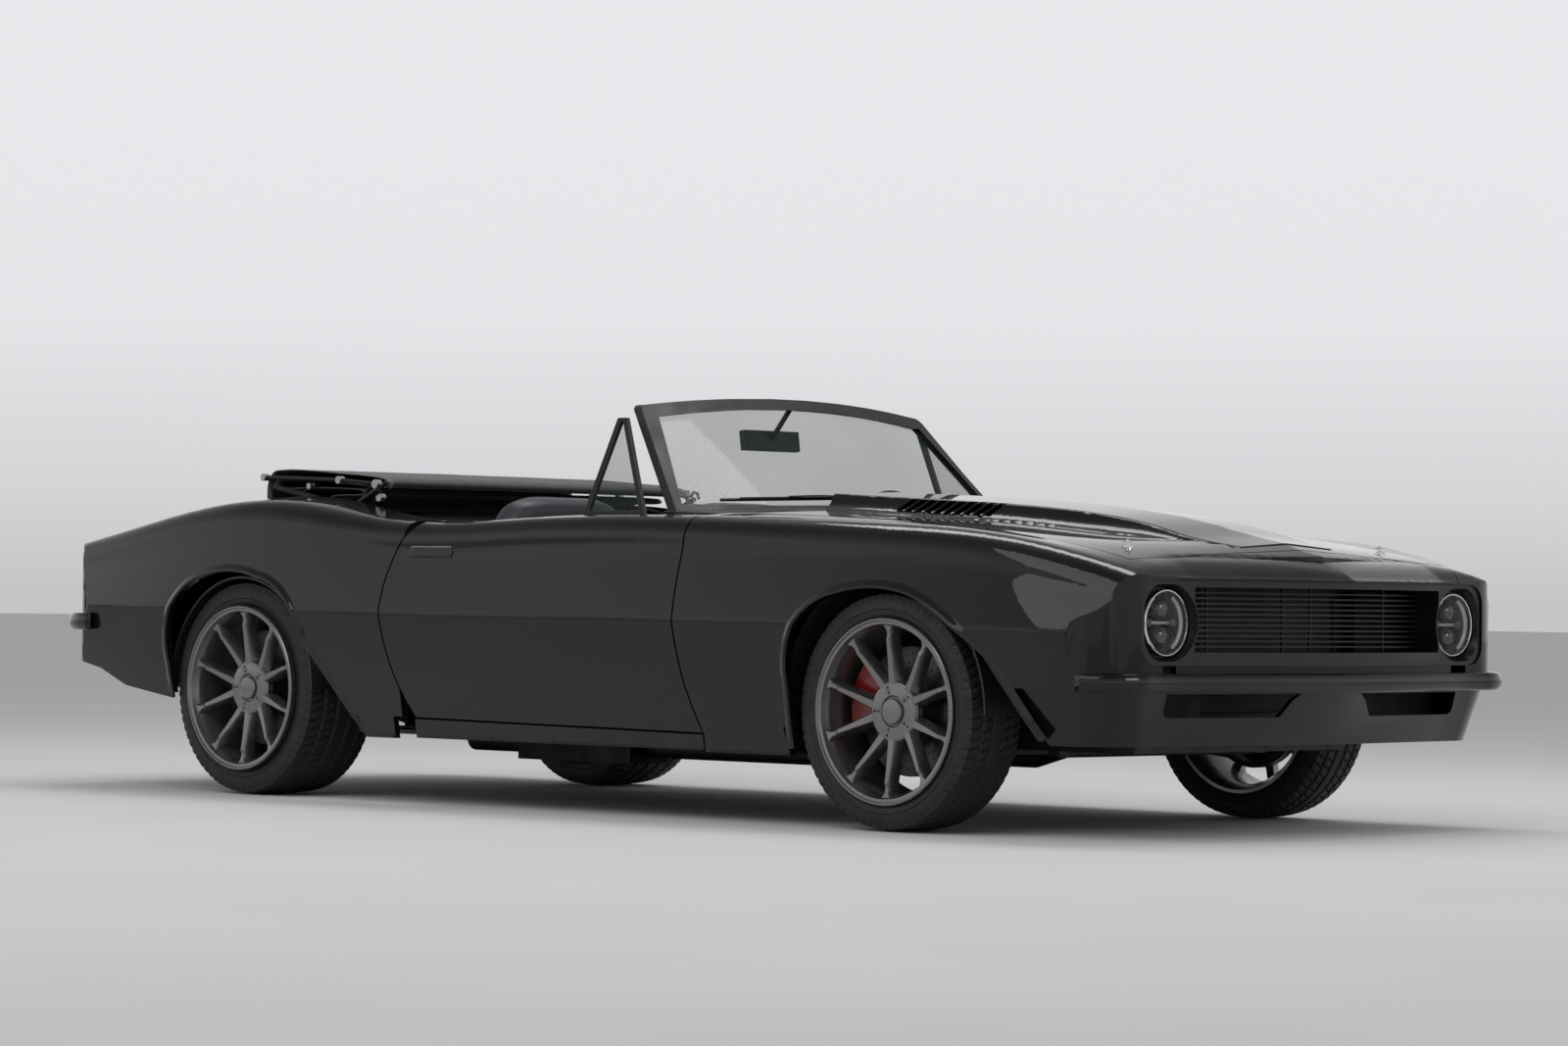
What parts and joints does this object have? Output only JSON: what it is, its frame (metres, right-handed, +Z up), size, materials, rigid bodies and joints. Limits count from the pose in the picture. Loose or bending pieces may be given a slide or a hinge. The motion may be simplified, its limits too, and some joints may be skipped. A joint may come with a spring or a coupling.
{
  "type": "open-top muscle car",
  "caption": "Two-door open muscle car with a folded cloth top, spinning and steered wheels, and opening doors, hood and boot.",
  "frame": {"origin": "on the ground midway along the overall length, on the centreline", "axes": "+X forward, +Y to the car's left, +Z up"},
  "size_m": [4.6931, 1.821, 1.228],
  "materials": {
    "body_paint": "gloss black paint",
    "chassis_black": "satin black",
    "trim_black": "satin black moulding",
    "lamp_clear": "clear lens over dark lamp body",
    "lamp_red": "dark red lens",
    "screen_glass": "clear laminated glass",
    "tyre_rubber": "black tread rubber",
    "rim_gunmetal": "satin gunmetal",
    "disc_steel": "machined disc",
    "caliper_red": "gloss red",
    "seat_leather": "dark slate leather",
    "top_cloth": "black top cloth",
    "linkage_metal": "satin black and bare steel",
    "engine_metal": "painted cast block",
    "exhaust_steel": "dull steel",
    "mirror_glass": "black mirror housing",
    "dash_black": "black padded dash",
    "radiator_alloy": "dark core"
  },
  "bodies": {
    "root": {"boot_floor": "chassis_black", "console": "dash_black", "dashboard": "dash_black", "engine": "engine_metal", "exhaust": "exhaust_steel", "fender_left": "body_paint", "fender_right": "body_paint", "floor_pan": "chassis_black", "folded_top": "top_cloth", "front_bumper": "body_paint", "front_valance": "body_paint", "fuel_tank": "chassis_black", "grille": "trim_black", "header_panel": "body_paint", "headlamps": "lamp_clear", "inner_fenders": "chassis_black", "interior_mirror": "mirror_glass", "radiator": "radiator_alloy", "rear_axle": "chassis_black", "rear_body": "body_paint", "rear_bumper": "body_paint", "rear_seat": "seat_leather", "rockers": "body_paint", "seat_left": "seat_leather", "seat_right": "seat_leather", "subframe": "chassis_black", "tail_lamps": "lamp_red", "top_linkage": "linkage_metal", "windscreen_frame": "chassis_black", "windscreen_glass": "screen_glass"},
    "hood": {"hood": "body_paint"},
    "trunk_lid": {"trunk_lid": "body_paint"},
    "steering_wheel": {"steering_wheel": "dash_black"},
    "door_left": {"door_left": "body_paint", "vent_window_left": "trim_black"},
    "hub_carrier_left": {"knuckle_left": "chassis_black", "caliper_left": "caliper_red"},
    "wheel_front_left": {"tyre_front_left": "tyre_rubber", "rim_front_left": "rim_gunmetal", "brake_disc_front_left": "disc_steel"},
    "wheel_rear_left": {"tyre_rear_left": "tyre_rubber", "rim_rear_left": "rim_gunmetal", "brake_disc_rear_left": "disc_steel"},
    "door_right": {"door_right": "body_paint", "vent_window_right": "trim_black"},
    "hub_carrier_right": {"knuckle_right": "chassis_black", "caliper_right": "caliper_red"},
    "wheel_front_right": {"tyre_front_right": "tyre_rubber", "rim_front_right": "rim_gunmetal", "brake_disc_front_right": "disc_steel"},
    "wheel_rear_right": {"tyre_rear_right": "tyre_rubber", "rim_rear_right": "rim_gunmetal", "brake_disc_rear_right": "disc_steel"}
  },
  "joints": [
    {"name": "steer_right", "type": "hinge", "parent": "root", "child": "hub_carrier_right", "pos_m": [1.416, -0.7, 0.326], "axis": [0, 0, 1], "range_deg": [-30, 30]},
    {"name": "steer_left", "type": "hinge", "parent": "root", "child": "hub_carrier_left", "pos_m": [1.416, 0.7, 0.326], "axis": [0, 0, 1], "range_deg": [-30, 30]},
    {"name": "steering_wheel_turn", "type": "hinge", "parent": "root", "child": "steering_wheel", "pos_m": [0.206, 0.385, 0.789], "axis": [-0.9063, 0, 0.4226], "range_deg": [-420, 420]},
    {"name": "spin_front_right", "type": "hinge", "parent": "hub_carrier_right", "child": "wheel_front_right", "pos_m": [1.416, -0.76, 0.326], "axis": [0, 1, 0], "continuous": true},
    {"name": "spin_rear_right", "type": "hinge", "parent": "root", "child": "wheel_rear_right", "pos_m": [-1.33, -0.72, 0.332], "axis": [0, 1, 0], "continuous": true},
    {"name": "open_door_right", "type": "hinge", "parent": "root", "child": "door_right", "pos_m": [0.75, -0.843, 0.385], "axis": [0, 0, 1], "range_deg": [0, 65]},
    {"name": "spin_front_left", "type": "hinge", "parent": "hub_carrier_left", "child": "wheel_front_left", "pos_m": [1.416, 0.76, 0.326], "axis": [0, 1, 0], "continuous": true},
    {"name": "spin_rear_left", "type": "hinge", "parent": "root", "child": "wheel_rear_left", "pos_m": [-1.33, 0.72, 0.332], "axis": [0, 1, 0], "continuous": true},
    {"name": "open_door_left", "type": "hinge", "parent": "root", "child": "door_left", "pos_m": [0.75, 0.843, 0.385], "axis": [0, 0, -1], "range_deg": [0, 65]},
    {"name": "open_hood", "type": "hinge", "parent": "root", "child": "hood", "pos_m": [0.575, 0, 0.838], "axis": [0, -1, 0], "range_deg": [0, 50]},
    {"name": "open_trunk", "type": "hinge", "parent": "root", "child": "trunk_lid", "pos_m": [-1.53, 0, 0.89], "axis": [0, 1, 0], "range_deg": [0, 60]}
  ],
  "couplings": [
    {"joint": "steer_left", "follows": "steer_right", "ratio": 1},
    {"joint": "steering_wheel_turn", "follows": "steer_right", "ratio": 14}
  ]
}
